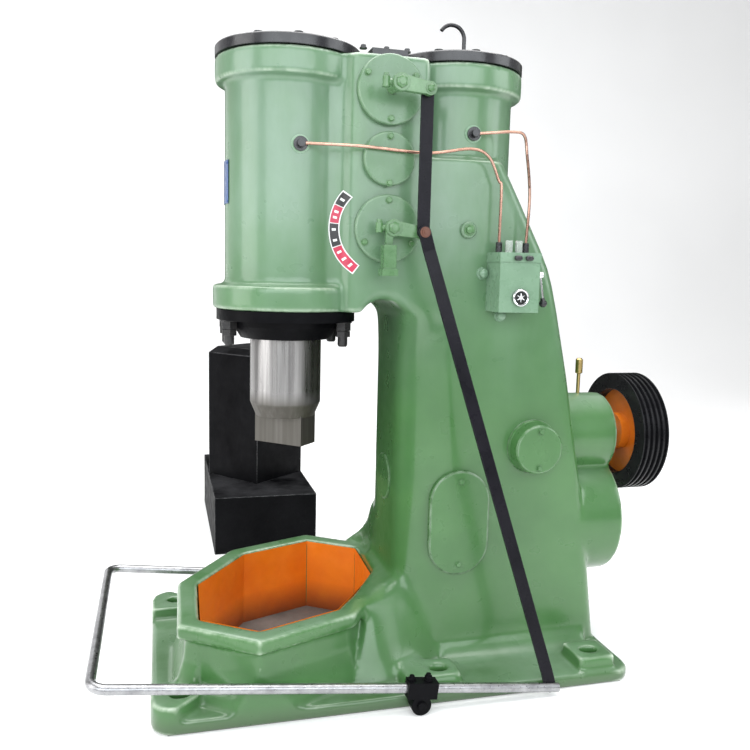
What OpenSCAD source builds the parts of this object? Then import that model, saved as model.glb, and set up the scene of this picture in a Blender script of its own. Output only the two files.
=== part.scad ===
// Air forging hammer: base with anvil well, column, ram and pump cylinders, valve gear,
// foot treadle, drive pulley, lubricator and its loose anvil.
// Origin: centre of the four corner foundation slots, on the floor.
// +Z is up, the pulley end is +X and the valve side is -Y.

/* [Base] */
// Width of the base plate
base_w = 920; // [900:10:940]
// Thickness of the base plate
base_t = 44; // [40:1:55]
// Corner radius of the base plate
base_corner_r = 70; // [40:5:90]
// Distance from the front end of the plate to the front slots
slot_front_inset = 90; // [80:5:110]
// Distance from the rear slots to the rear end of the plate
slot_rear_inset = 135; // [120:5:150]
// Pitch of the corner foundation slots along the base
slot_pitch_x = 1425; // [1380:5:1440]
// Pitch of the foundation slots across the base
slot_pitch_y = 744; // [720:4:760]
// Place of the middle slots behind the origin
mid_slot_x = 143; // [120:1:180]
// Length of a foundation slot
slot_l = 65; // [50:1:80]
// Width of a foundation slot
slot_w = 40; // [30:1:50]
// Height of the foundation pads over the floor
pad_top = 90; // [80:1:100]
// Side of a foundation pad
pad_side = 136; // [120:2:150]

/* [Anvil well] */
// Distance from the front end of the plate to the ram axis
ram_inset = 468.5; // [455:0.5:480]
// Half length of the well opening
well_a = 416; // [405:1:420]
// Half width of the well opening
well_b = 274; // [264:1:280]
// Half length of the long straight sides
well_flat_a = 167; // [155:1:180]
// Half length of the short end sides
well_flat_b = 110; // [100:1:125]
// Turn of the well about its centre
well_turn = 55.2; // [52:0.1:58]
// Distance of that centre behind the ram axis
well_shift = 12; // [6:1:14]
// Height of the rim over the floor
rim_top = 290; // [280:1:310]
// Width of the rim round the opening
rim_w = 70; // [55:1:75]
// Thickness of the rim lip
rim_h = 50; // [40:1:60]
// Wall of the well under the lip
well_wall = 42; // [35:1:50]
// Spread of the skirt at its foot
skirt_foot = 75; // [65:5:90]
// Radius of the cove between base plate and column
foot_cove_r = 90; // [70:5:100]

/* [Column] */
// Distance from the ram axis to the front face of the column
throat_depth = 372; // [365:1:385]
// Half width of the column over its side faces
column_half_w = 228; // [220:1:235]
// Half width of the column at its front face
column_nose_half_w = 192; // [180:1:200]
// Radius of the front edges of the column
nose_r = 72; // [65:1:80]
// Distance from the rear end of the base to the foot of the column
rear_inset = 14; // [8:1:20]
// Distance from the foot of the column forward to its knee
knee_set = 256; // [240:1:270]
// Height of the knee over the throat roof
knee_rise = 157; // [140:1:170]
// Distance from the knee forward to the column shoulder
shoulder_set = 200; // [190:1:210]
// Drop from the cylinder tops to the column shoulder
shoulder_drop = 312; // [300:1:325]
// Bulge of the rear face between foot and knee
rear_bulge = 22; // [15:1:30]
// Radius of the rear edges of the column
rear_r = 50; // [35:1:60]
// Radius of the arch in the throat roof
arch_r = 88; // [80:1:95]
// Height of the arch over the lower flange
arch_rise = 45; // [38:1:50]
// Height over which the column widens to the valve chest
neck_h = 220; // [180:10:260]
// Rise of the apron from the rim to the column
apron_rise = 48; // [40:1:60]
// Radius of the round cover on the front face
front_cover_r = 86; // [70:1:95]
// Height of that cover over the floor
front_cover_z = 662; // [600:1:700]

/* [Cylinders] */
// Height of the throat roof over the floor
throat_z = 1277; // [1270:1:1285]
// Outer radius of the ram cylinder
ram_cyl_r = 211; // [205:1:216]
// Radius of the flange under the ram cylinder
low_flange_r = 252; // [245:1:258]
// Height of that flange
low_flange_h = 84; // [70:1:95]
// Radius of the top flange of the ram cylinder
ram_top_flange_r = 244; // [238:1:250]
// Distance from the ram axis to the pump axis
cyl_pitch = 595; // [580:1:610]
// Outer radius of the pump cylinder
pump_cyl_r = 204; // [198:1:210]
// Radius of the top flange of the pump cylinder
pump_top_flange_r = 237; // [230:1:242]
// Height of the cylinders over the throat roof
cyl_h = 830; // [810:1:850]
// Height of the top flanges
top_flange_h = 87; // [75:1:95]
// Thickness of the cylinder covers
cover_t = 43; // [35:1:50]
// Bore radius of the ram cylinder
bore_r = 150; // [140:1:160]

/* [Ram] */
// Radius of the ram
ram_r = 124; // [118:1:130]
// Travel of the ram
ram_travel = 320; // [250:10:340]
// Height of the striking face over the floor at rest
ram_face_z = 804; // [780:1:830]
// Height of the forged block at the end of the ram
ram_block_h = 110; // [100:1:120]
// Long side of that block
ram_block_l = 193; // [180:1:196]
// Short side of that block
ram_block_w = 93; // [80:1:100]
// Turn of the block about the ram axis
ram_block_turn = 48; // [40:1:60]
// Height of the taper over the block
ram_taper_h = 38; // [30:1:45]
// Length of the piston on the ram
piston_l = 150; // [120:1:180]
// Gap of the sliding fits
slide_gap = 0.06; // [0.03:0.01:0.1]

/* [Gland] */
// Radius of the gland flange
gland_r = 240; // [230:1:245]
// Thickness of the gland flange
gland_flange_t = 36; // [30:1:45]
// Radius of the gland nose
gland_nose_r = 188; // [170:1:200]
// Height of the gland nose
gland_nose_h = 62; // [50:1:70]
// Radius of the gland nose at its lower end
gland_tip_r = 158; // [150:1:170]

/* [Valve gear] */
// Distance from the ram axis to the valve axes
valve_x = 293; // [285:1:300]
// Drop from the cylinder tops to the upper valve axis
upper_valve_drop = 115; // [110:1:125]
// Distance between the valve axes
valve_pitch = 438; // [425:1:445]
// Radius of the upper and lower valve covers
valve_cover_r = 110; // [100:1:115]
// Gap between the valve covers
cover_gap = 23; // [15:1:30]
// Thickness of the valve covers
valve_cover_t = 26; // [20:1:32]
// Radius of the valve spindles
spindle_r = 16; // [13:1:18]
// Reach of the lower lever in front of the chest
lever_reach = 83; // [75:1:90]
// Distance between the pins of a lever
lever_l = 95; // [90:1:105]
// Droop of the levers at rest
lever_droop = 7; // [4:0.5:10]
// Thickness of the levers
lever_t = 22; // [18:1:26]
// Width of the flat links
link_w = 40; // [34:1:44]
// Thickness of the flat links
link_t = 10; // [8:1:12]
// Radius of the link pins
pin_r = 8; // [7:0.5:9]

/* [Treadle] */
// Radius of the treadle bar
bar_r = 16; // [14:0.5:18]
// Distance from the side of the base to the middle of the treadle arms
treadle_gap = 27; // [25:1:35]
// Distance from the ram axis back to the treadle pivots
pivot_x = 372; // [360:1:390]
// Height of the treadle pivots
pivot_z = 34; // [32:1:38]
// Height of the bar over its pivot
bar_lift = 47; // [44:1:52]
// Reach of the treadle in front of its pivot
treadle_front = 1022; // [1000:2:1040]
// Reach of the heel behind the pivot
heel_reach = 469; // [450:1:480]
// Slope of the treadle at rest
treadle_slope = 6.4; // [6:0.1:6.6]
// Bend radius of the treadle loop
bar_bend_r = 50; // [40:1:70]

/* [Drive] */
// Height of the drive shaft
shaft_z = 806; // [800:1:815]
// Radius of the drive shaft
shaft_r = 38; // [32:1:42]
// Radius of the shaft housing
shaft_housing_r = 154; // [148:1:158]
// Distance from the foot of the column back to the end of the housings
housing_reach = 84; // [75:1:95]
// Height of the gear housing axis
gear_z = 485; // [475:1:495]
// Radius of the gear housing
gear_housing_r = 228; // [222:1:232]
// Outer radius of the pulley
pulley_r = 230; // [220:1:240]
// Gap between the housing and the pulley
pulley_gap = 62; // [50:1:70]
// Width of the pulley
pulley_w = 107; // [100:1:115]
// Number of belt grooves
groove_n = 5; // [3:1:6]
// Depth of a belt groove
groove_d = 13; // [10:1:15]
// Inner radius of the pulley rim
pulley_rim_r = 168; // [160:1:175]

/* [Lubricator] */
// Distance from the ram axis to the near side of the lubricator
lub_x = 655; // [645:1:665]
// Height of the lubricator's underside over the throat roof
lub_rise = 13; // [5:1:20]
// Width of the lubricator
lub_w = 144; // [135:1:150]
// Depth of the lubricator
lub_d = 112; // [105:1:115]
// Height of the lubricator
lub_h = 166; // [160:1:170]
// Radius of the oil pipes
pipe_r = 5; // [4:0.5:6]

/* [Anvil] */
// Distance from the ram axis to the anvil
anvil_x = 77; // [70:1:90]
// Distance from the mid plane to the anvil
anvil_y = 1572; // [1550:1:1590]
// Width of the anvil foot
anvil_foot_w = 507; // [480:1:520]
// Length of the anvil foot
anvil_foot_l = 960; // [920:5:980]
// Height of the anvil foot
anvil_foot_h = 287; // [270:1:300]
// Side of the anvil post
anvil_post = 357; // [340:1:370]
// Height of the anvil over the floor
anvil_h = 993; // [970:1:1010]
// Height of the bevel round the top of the post
anvil_bevel = 34; // [25:1:40]
// Turn of the anvil post
anvil_post_turn = 40.4; // [36:0.1:45]

/* [Hidden] */
$fn = 96;
green = "#6f9f6b";
black = "#1c1c1e";
orange = "#e8791c";
steel = "#b9bbbd";
copper = "#b5714a";
glass = "#dfe6e4";

base_front = -slot_pitch_x/2 - slot_front_inset;
base_l = slot_pitch_x + slot_front_inset + slot_rear_inset;
ram_x = base_front + ram_inset;
column_front = ram_x + throat_depth;
column_foot = base_front + base_l - rear_inset;
knee_x = column_foot - knee_set;
knee_z = throat_z + knee_rise;
cyl_top = throat_z + cyl_h;
shoulder_x = knee_x - shoulder_set;
shoulder_z = cyl_top - shoulder_drop;
knee_soft = 16;
flare_run = 163;
flare_r = 12;
slice_t = 1;
seat_gap = 8;
neck_z = throat_z - neck_h;
arch_x = column_front - sqrt(arch_r*arch_r - (arch_r - arch_rise)*(arch_r - arch_rise));
column_levels = [base_t, rim_top, (rim_top + neck_z)/2, neck_z, throat_z];
neck_levels = [neck_z, neck_z + 0.45*neck_h, neck_z + 0.75*neck_h, throat_z];
shoulder_levels = [
    throat_z, knee_z - 0.4*knee_rise, knee_z, knee_z + 0.4*knee_rise,
    (knee_z + 0.4*knee_rise + shoulder_z)/2, shoulder_z
];
upper_valve_z = cyl_top - upper_valve_drop;
lower_valve_z = upper_valve_z - valve_pitch;
mid_cover_r = valve_pitch/2 - valve_cover_r - cover_gap;
treadle_y = base_w/2 + treadle_gap;
housing_end = column_foot + housing_reach;
pulley_x = housing_end + pulley_gap;
lub_z = throat_z + lub_rise;
front_pad_l = 175;
mid_pad_l = 204;
mid_pad_shift = -32;
pad_toe = 77;
pocket_side = 190;
pocket_drop = 12;
pocket_set = 152;
pocket_y = 330;
pump_x = ram_x + cyl_pitch;
cover_top = cyl_top + cover_t;
chest_face = column_half_w;
chest_half_l = 138;
lever_y = -chest_face - lever_reach;
link_gap = 5;
link_y = lever_y - lever_t/2 - link_gap - link_t/2;
upper_reach = lever_reach + lever_t + link_t + 2*link_gap;
foot_link_y = -treadle_y + link_t/2 + 1;
open_pivot_gap = 4;
link_play = 0.8;
heel_pin_x = heel_reach*cos(treadle_slope) + bar_lift*sin(treadle_slope);
heel_pin_z = pivot_z + bar_lift*cos(treadle_slope) - heel_reach*sin(treadle_slope);
lever_end_x = ram_x + valve_x + lever_l*cos(lever_droop);
lever_end_drop = lever_l*sin(lever_droop);
lid_t = 32;
lub_top = lub_z + lub_h + lid_t;
lub_pipe_x = [20, 118];
lub_pipe_y = -column_half_w - 46;
stub_h = 34;
fitting_x = 8;
front_fitting_z = cyl_top - 296;
rear_fitting_z = cyl_top - 227;
nut_r = 13;
nut_reach = 18;
edge = 4;
air = 0.3;

// Outline of the well grown by d on every side
module well_outline(d) {
    run_a = well_a - well_flat_a;
    run_b = well_b - well_flat_b;
    slant = sqrt(run_a*run_a + run_b*run_b);
    na = run_b/slant;
    nb = run_a/slant;
    fa = well_flat_a + d*(1 - nb)/na;
    fb = well_flat_b + d*(1 - na)/nb;
    a = well_a + d;
    b = well_b + d;
    translate([ram_x + well_shift, 0])
        rotate(well_turn)
            polygon([[a, -fb], [a, fb], [fa, b], [-fa, b], [-a, fb], [-a, -fb], [-fa, -b], [fa, -b]]);
}

// Thin slice of the well's plan grown by d, at height z
module well_slice(d, z) {
    translate([0, 0, z])
        linear_extrude(1)
            well_outline(d);
}

// Rectangle with round corners, its front edge at x
module round_rect(x, l, w, r) {
    translate([x + r, -w/2])
        square([l - 2*r, w]);
    translate([x, -w/2 + r])
        square([l, w - 2*r]);
    for (cx = [x + r, x + l - r], cy = [-w/2 + r, w/2 - r])
        translate([cx, cy])
            circle(r);
}

// Slot with round ends, along X
module slot_outline(l, w) {
    square([l - w, w], center = true);
    for (s = [-1, 1])
        translate([s*(l - w)/2, 0])
            circle(w/2);
}

// Disc on the -Y side of the plane y, with a bevelled face
module face_disc(r, t) {
    rotate([90, 0, 0])
        rotate_extrude()
            polygon([[0, 0], [r, 0], [r, t - edge], [r - edge, t], [0, t]]);
}

// Rear face of the column at height z: a bulged foot and a sloped shoulder that meet in a soft knee
function rear_x(z) =
    let (
        u = (z - base_t)/(knee_z - base_t),
        low = column_foot + (knee_x - column_foot)*u + 4*rear_bulge*u*(1 - u),
        high = knee_x + (shoulder_x - knee_x)*(z - knee_z)/(shoulder_z - knee_z)
    )
    (low + high - sqrt((low - high)*(low - high) + knee_soft*knee_soft))/2;

// Half width of the column's front at height z: it widens to the valve chest at the neck
function nose_half_w(z) =
    let (u = max(0, (z - neck_z)/neck_h))
    column_nose_half_w + (column_half_w - column_nose_half_w)*u*u;

// Body of the column: rounded front edges, sides that spread behind them, bulged rear face
module column_body() {
    hull()
        for (z = column_levels, s = [-1, 1])
            translate([0, 0, z == base_t ? z : z - slice_t]) {
                translate([column_front + nose_r, s*(column_nose_half_w - nose_r), 0])
                    cylinder(r = nose_r, h = slice_t, $fn = 32);
                translate([column_front + flare_run, s*(column_half_w - flare_r), 0])
                    cylinder(r = flare_r, h = slice_t, $fn = 16);
                translate([rear_x(z) - rear_r, s*(column_half_w - rear_r), 0])
                    cylinder(r = rear_r, h = slice_t, $fn = 32);
            }
}

// Neck of the column, where its front widens to the valve chest
module column_neck() {
    inset = 1;
    for (i = [0:len(neck_levels) - 2])
        hull()
            for (k = [0, 1], s = [-1, 1])
                let (z = neck_levels[i + k])
                translate([column_front + nose_r + inset, s*(nose_half_w(z) - nose_r), z - k*slice_t]) {
                    cylinder(r = nose_r, h = slice_t, $fn = 32);
                    translate([flare_run - nose_r, 0, 0])
                        cylinder(r = nose_r, h = slice_t, $fn = 32);
                }
}

// Web between the well and the column: it rises from the rim to the column and slopes down below the lip
module apron() {
    near_x = 251;
    near_y = 258;
    far_x = 400;
    far_y = 318;
    spread = 130;
    inset = 20;
    back = column_front + flare_run;
    hull() {
        translate([0, 0, rim_top - rim_h])
            linear_extrude(rim_h)
                polygon([
                    [ram_x + near_x, -near_y], [column_front, -column_nose_half_w], [back, 0],
                    [ram_x + far_x, far_y], [ram_x + near_x, 0]
                ]);
        translate([column_front + inset, -column_nose_half_w + inset, rim_top])
            cube([inset, 2*(column_nose_half_w - inset), apron_rise]);
        translate([0, 0, base_t/2])
            linear_extrude(slice_t)
                polygon([
                    [ram_x + near_x - spread/2, -near_y - spread], [column_front - spread/2, -near_y - spread],
                    [back + spread/2, -column_half_w], [back + spread/2, column_half_w],
                    [ram_x + far_x, far_y + spread/2], [ram_x + near_x, 0]
                ]);
    }
}

// Flare on the far side between the column's front edge and the rim
module far_flare() {
    steps = [[215, 205], [262, 98], [420, 4]];
    thick = 110;
    for (i = [0, 1])
        hull()
            for (k = [0, 1])
                translate([column_front, 0, rim_top + steps[i + k][1] - slice_t])
                    cube([thick, steps[i + k][0], slice_t]);
}

// Cove along the foot of the column on both sides
module foot_coves() {
    front = column_front + flare_run;
    run = column_foot - 1.3*rear_r - front;
    for (s = [-1, 1])
        difference() {
            translate([front, s > 0 ? column_half_w : -column_half_w - foot_cove_r, base_t])
                cube([run, foot_cove_r, foot_cove_r]);
            translate([front - 1, s*(column_half_w + foot_cove_r), base_t + foot_cove_r])
                rotate([0, 90, 0])
                    cylinder(r = foot_cove_r, h = run + 2);
        }
}

module foundation_pads() {
    for (s = [-1, 1]) {
        translate([slot_pitch_x/2 - pad_side/2, s*slot_pitch_y/2 - pad_side/2, 0])
            cube([pad_side, pad_side, pad_top]);
        translate([mid_slot_x + mid_pad_shift - mid_pad_l/2, s*slot_pitch_y/2 - pad_side/2, 0])
            cube([mid_pad_l, pad_side, pad_top]);
        intersection() {
            linear_extrude(pad_top)
                round_rect(base_front, base_l, base_w, base_corner_r);
            translate([0, 0, -1])
                linear_extrude(pad_top + 2)
                    polygon([
                        [base_front - 1, s*base_w/2], [base_front + pad_toe, s*base_w/2],
                        [base_front + pad_toe + front_pad_l, s*(base_w/2 - front_pad_l)],
                        [base_front - 1, s*(base_w/2 - front_pad_l)]
                    ]);
        }
    }
}

module base_casting() color(green) {
    flare = [
        [skirt_foot + 20, base_t/2], [well_wall + (skirt_foot - well_wall)/4, (base_t + rim_top)/2],
        [well_wall, rim_top - rim_h/2]
    ];
    difference() {
        union() {
            linear_extrude(base_t)
                round_rect(base_front, base_l, base_w, base_corner_r);
            foundation_pads();
            intersection() {
                for (i = [0, 1])
                    hull() {
                        well_slice(flare[i][0], flare[i][1]);
                        well_slice(flare[i + 1][0], flare[i + 1][1]);
                    }
                linear_extrude(rim_top)
                    round_rect(base_front, base_l, base_w, base_corner_r);
            }
            translate([0, 0, rim_top - rim_h])
                linear_extrude(rim_h)
                    well_outline(rim_w);
            apron();
            far_flare();
            foot_coves();
        }
        translate([0, 0, -1])
            linear_extrude(rim_top + apron_rise + 2)
                well_outline(0);
        for (s = [-1, 1])
            translate([base_front + pocket_set, s*(pocket_y + pocket_side/sqrt(2)), pad_top])
                rotate(45)
                    translate([-pocket_side/2, -pocket_side/2, 0])
                        cube([pocket_side, pocket_side, rim_top - rim_h - pocket_drop - pad_top]);
        for (x = [-slot_pitch_x/2, mid_slot_x, slot_pitch_x/2], s = [-1, 1])
            translate([x, s*slot_pitch_y/2, -1])
                linear_extrude(pad_top + 2)
                    slot_outline(slot_l, slot_w);
        column_body();
    }
}

module column_casting() color(green) {
    column_body();
    column_neck();
}

module column_front_cover() color(green) {
    translate([column_front, 0, front_cover_z])
        rotate([0, -90, 0])
            rotate_extrude()
                polygon([[0, 0], [front_cover_r, 0], [front_cover_r, 2], [front_cover_r - edge, 6], [0, 6]]);
}

module ram_cylinder() color(green) {
    translate([ram_x, 0, 0])
        difference() {
            rotate_extrude()
                polygon([
                    [0, throat_z], [low_flange_r - edge, throat_z], [low_flange_r, throat_z + edge],
                    [low_flange_r, throat_z + low_flange_h - edge],
                    [low_flange_r - edge, throat_z + low_flange_h], [ram_cyl_r, throat_z + low_flange_h],
                    [ram_cyl_r, cyl_top - top_flange_h], [ram_top_flange_r, cyl_top - top_flange_h],
                    [ram_top_flange_r, cyl_top], [0, cyl_top]
                ]);
            translate([0, 0, throat_z - 1])
                cylinder(r = bore_r, h = cyl_top - throat_z - 40);
        }
}

// Plan of the valve chest; on the ram side a cove leads from the barrel to its rounded edge
module chest_plan() {
    x0 = ram_x + valve_x - chest_half_l;
    x1 = ram_x + valve_x + chest_half_l;
    r = 45;
    cove = 60;
    edge_x = valve_x - chest_half_l + r;
    edge_y = chest_face - r;
    edge_d = sqrt(edge_x*edge_x + edge_y*edge_y);
    far = ram_cyl_r + cove;
    along = (far*far - (r + cove)*(r + cove) + edge_d*edge_d)/(2*edge_d);
    off = sqrt(far*far - along*along);
    cove_x = (along*edge_x - off*edge_y)/edge_d;
    cove_y = (along*edge_y + off*edge_x)/edge_d;
    reach = 0.97*r/(r + cove);
    translate([x0 + r, -chest_face])
        square([x1 - x0 - r, 2*chest_face]);
    translate([x0, -chest_face + r])
        square([x1 - x0, 2*(chest_face - r)]);
    for (s = [0, 1])
        mirror([0, s]) {
            translate([x0 + r, r - chest_face])
                circle(r);
            difference() {
                polygon([
                    [ram_x + cove_x*ram_cyl_r/far, -cove_y*ram_cyl_r/far],
                    [ram_x + edge_x + reach*(cove_x - edge_x), -edge_y - reach*(cove_y - edge_y)],
                    [ram_x + edge_x, -edge_y], [ram_x + edge_x*0.6, -edge_y*0.6]
                ]);
                translate([ram_x + cove_x, -cove_y])
                    circle(cove);
            }
        }
}

module chest_volume() {
    translate([0, 0, throat_z])
        linear_extrude(cyl_h)
            chest_plan();
}

module ram_cylinder_volume() {
    translate([ram_x, 0, throat_z])
        cylinder(r = ram_cyl_r, h = cyl_top - throat_z);
    translate([ram_x, 0, throat_z])
        cylinder(r = low_flange_r, h = low_flange_h);
    translate([ram_x, 0, cyl_top - top_flange_h])
        cylinder(r = ram_top_flange_r, h = top_flange_h);
}

module valve_chest() color(green) {
    difference() {
        chest_volume();
        ram_cylinder_volume();
        translate([arch_x, 0, throat_z + arch_rise - arch_r])
            rotate([90, 0, 0])
                cylinder(r = arch_r, h = 2*column_half_w + 2, center = true);
        for (z = [upper_valve_z, lower_valve_z])
            translate([ram_x + valve_x, -chest_face - 1, z])
                rotate([-90, 0, 0])
                    cylinder(r = spindle_r + 4, h = 60);
    }
}

module pump_cylinder() color(green) {
    difference() {
        union() {
            translate([pump_x, 0, throat_z])
                cylinder(r = pump_cyl_r, h = cyl_h);
            translate([pump_x, 0, cyl_top - top_flange_h])
                cylinder(r = pump_top_flange_r, h = top_flange_h);
        }
        chest_volume();
    }
}

// Top of the column behind the valve chest, round the pump cylinder
module column_shoulder() color(green) {
    front = ram_x + valve_x + chest_half_l;
    difference() {
        for (i = [0:len(shoulder_levels) - 2])
            hull()
                for (k = [0, 1])
                    let (z = shoulder_levels[i + k], at = z - k*slice_t) {
                        translate([front, -column_half_w, at])
                            cube([rear_r, 2*column_half_w, slice_t]);
                        for (s = [-1, 1])
                            translate([rear_x(z) - rear_r, s*(column_half_w - rear_r), at])
                                cylinder(r = rear_r, h = slice_t, $fn = 32);
                    }
        translate([pump_x, 0, throat_z - 1])
            cylinder(r = pump_cyl_r, h = cyl_h);
    }
}

module cylinder_cover(x, r) {
    step_r = r - 32;
    step_h = 9;
    translate([x, 0, cyl_top])
        rotate_extrude()
            polygon([
                [0, 0], [r, 0], [r, cover_t - step_h - edge], [r - edge, cover_t - step_h],
                [step_r, cover_t - step_h], [step_r - edge, cover_t], [0, cover_t]
            ]);
}

module ram_cylinder_cover() color(black) {
    cylinder_cover(ram_x, ram_top_flange_r);
}

module pump_cylinder_cover() color(black) {
    cylinder_cover(pump_x, pump_top_flange_r);
}

module chest_cover() color(black) {
    l = cyl_pitch - ram_top_flange_r - pump_top_flange_r - 6;
    x = ram_x + ram_top_flange_r + 3 + l/2;
    t = 22;
    difference() {
        translate([x - 60, -chest_face + 30, cyl_top])
            cube([120, 2*chest_face - 60, t]);
        for (p = [[ram_x, ram_top_flange_r], [pump_x, pump_top_flange_r]])
            translate([p[0], 0, cyl_top - 1])
                cylinder(r = p[1] + 3, h = t + 2);
    }
}

module gland_ring() color(black) {
    translate([ram_x, 0, 0])
        difference() {
            rotate_extrude()
                polygon([
                    [gland_r, throat_z], [gland_r, throat_z - gland_flange_t],
                    [gland_nose_r, throat_z - gland_flange_t],
                    [gland_nose_r - edge, throat_z - gland_flange_t - gland_nose_h/3],
                    [gland_tip_r, throat_z - gland_flange_t - gland_nose_h],
                    [0, throat_z - gland_flange_t - gland_nose_h], [0, throat_z]
                ]);
            translate([0, 0, throat_z - gland_flange_t - gland_nose_h - 1])
                cylinder(r = ram_r + slide_gap, h = gland_flange_t + gland_nose_h + 2);
        }
}

module ram() color(steel) {
    block_top = ram_face_z + ram_block_h;
    rod_low = block_top + ram_taper_h;
    piston_low = throat_z + 60;
    half_diag = sqrt(ram_block_l*ram_block_l + ram_block_w*ram_block_w)/2;
    translate([ram_x, 0, 0]) {
        translate([0, 0, ram_face_z + ram_block_h/2])
            rotate(ram_block_turn)
                cube([ram_block_w, ram_block_l, ram_block_h], center = true);
        rotate_extrude()
            polygon([
                [0, block_top - 10], [half_diag - 4, block_top - 10], [ram_r, rod_low],
                [ram_r, piston_low], [bore_r - slide_gap, piston_low],
                [bore_r - slide_gap, piston_low + piston_l], [0, piston_low + piston_l]
            ]);
    }
}

module valve_cover(r, z, bored) {
    translate([ram_x + valve_x, -chest_face, z])
        difference() {
            face_disc(r, valve_cover_t);
            if (bored)
                rotate([90, 0, 0])
                    translate([0, 0, -1])
                        cylinder(r = spindle_r + slide_gap, h = valve_cover_t + 2);
        }
}

module upper_valve_cover() color(green) {
    valve_cover(valve_cover_r, upper_valve_z, true);
}

module middle_valve_cover() color(green) {
    valve_cover(mid_cover_r, (upper_valve_z + lower_valve_z)/2 + 4, false);
}

module lower_valve_cover() color(green) {
    valve_cover(valve_cover_r, lower_valve_z, true);
}

// Lever with its spindle and hub; its link pin stands on the side +1 or -1 along Y
module valve_lever(z, reach, side, pin_reach) {
    hub_r = 28;
    eye_r = 21;
    translate([ram_x + valve_x, -chest_face - reach, z]) {
        rotate([-90, 0, 0])
            translate([0, 0, 2 - lever_t/2])
                cylinder(r = spindle_r, h = reach + lever_t/2 + 38);
        rotate([0, lever_droop, 0]) {
            rotate([90, 0, 0])
                linear_extrude(lever_t, center = true) {
                    circle(hub_r);
                    translate([lever_l, 0])
                        circle(eye_r);
                    polygon([[0, -hub_r + 4], [lever_l, -eye_r + 2], [lever_l, eye_r - 2], [0, hub_r - 4]]);
                }
            translate([lever_l, side*lever_t/2, 0])
                rotate([-90*side, 0, 0])
                    cylinder(r = pin_r, h = pin_reach);
        }
        rotate([90, 0, 0])
            cylinder(r = spindle_r - 5, h = lever_t/2 + 14);
    }
}

module upper_valve_lever() color(green) {
    valve_lever(upper_valve_z, upper_reach, 1, link_gap + link_t + 3);
}

module lower_valve_lever() color(green) {
    socket_w = 42;
    socket_h = 84;
    neck_h = 54;
    neck_w = 24;
    foot_w = 52;
    foot_h = 22;
    valve_lever(lower_valve_z, lever_reach, -1, 2*link_gap + 2*link_t + 4);
    translate([ram_x + valve_x - 13, lever_y, lower_valve_z]) {
        translate([-neck_w/2, -lever_t/2 + 2, -neck_h - 6])
            cube([neck_w, lever_t - 4, neck_h + 4]);
        translate([-socket_w/2, -socket_w/2, -neck_h - socket_h])
            cube([socket_w, socket_w, socket_h]);
        translate([-foot_w/2, -foot_w/2, -neck_h - socket_h - foot_h + 8])
            cube([foot_w, foot_w, foot_h]);
    }
}

// Flat link with round ends and two pin holes, from [0,0] to [dx,dz] in the XZ plane
module link_outline(l, hole_a, hole_b) {
    difference() {
        union() {
            translate([0, -link_w/2])
                square([l, link_w]);
            circle(link_w/2);
            translate([l, 0])
                circle(link_w/2);
        }
        circle(hole_a);
        translate([l, 0])
            circle(hole_b);
    }
}

module short_link() color(black) {
    l = upper_valve_z - lower_valve_z;
    translate([lever_end_x, link_y, upper_valve_z - lever_end_drop])
        rotate([90, 90, 0])
            linear_extrude(link_t, center = true)
                link_outline(l, pin_r + link_play, pin_r + slide_gap);
}

module long_link() color(black) {
    x0 = lever_end_x;
    z0 = lower_valve_z - lever_end_drop;
    x1 = ram_x + pivot_x + heel_pin_x;
    z1 = heel_pin_z;
    y0 = link_y - link_t - link_gap;
    y1 = foot_link_y;
    l = sqrt((x1 - x0)*(x1 - x0) + (z1 - z0)*(z1 - z0));
    tilt = atan2(z0 - z1, x1 - x0);
    flat = 60;
    translate([x0, 0, z0])
        rotate([0, tilt, 0])
            intersection() {
                rotate([90, 0, 0])
                    linear_extrude(2*treadle_y, center = true)
                        link_outline(l, pin_r + slide_gap, pin_r + open_pivot_gap);
                translate([0, 0, -link_w])
                    linear_extrude(2*link_w)
                        polygon([
                            [-link_w, y0 - link_t/2], [flat, y0 - link_t/2], [l - flat, y1 - link_t/2],
                            [l + link_w, y1 - link_t/2], [l + link_w, y1 + link_t/2],
                            [l - flat, y1 + link_t/2], [flat, y0 + link_t/2], [-link_w, y0 + link_t/2]
                        ]);
            }
}

// The treadle is drawn level with its pivot at the origin, then sloped
module at_treadle() {
    translate([ram_x + pivot_x, 0, pivot_z])
        rotate([0, treadle_slope, 0])
            children();
}

module treadle_bar() color(steel) {
    r = bar_bend_r;
    tail = 90;
    tongue = 75;
    at_treadle()
        translate([0, 0, bar_lift])
            difference() {
                union() {
                    for (e = [[-1, heel_reach + 26], [1, tail]])
                        translate([-treadle_front + r, e[0]*treadle_y, 0])
                            rotate([0, 90, 0])
                                cylinder(r = bar_r, h = treadle_front - r + e[1]);
                    translate([-treadle_front, 0, 0])
                        rotate([90, 0, 0])
                            cylinder(r = bar_r, h = 2*(treadle_y - r), center = true);
                    for (s = [-1, 1])
                        translate([-treadle_front + r, s*(treadle_y - r), 0])
                            rotate([0, 0, s > 0 ? 90 : 180])
                                rotate_extrude(angle = 90)
                                    translate([r, 0])
                                        circle(bar_r);
                }
                translate([heel_reach + 26 - tongue, -treadle_y - 1, -bar_r - 1])
                    cube([tongue + 1, bar_r + 2, 2*bar_r + 2]);
            }
    at_treadle()
        translate([heel_reach, -treadle_y - bar_r + 2, bar_lift])
            rotate([-90, 0, 0])
                cylinder(r = pin_r, h = bar_r + link_t + 6);
}

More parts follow.
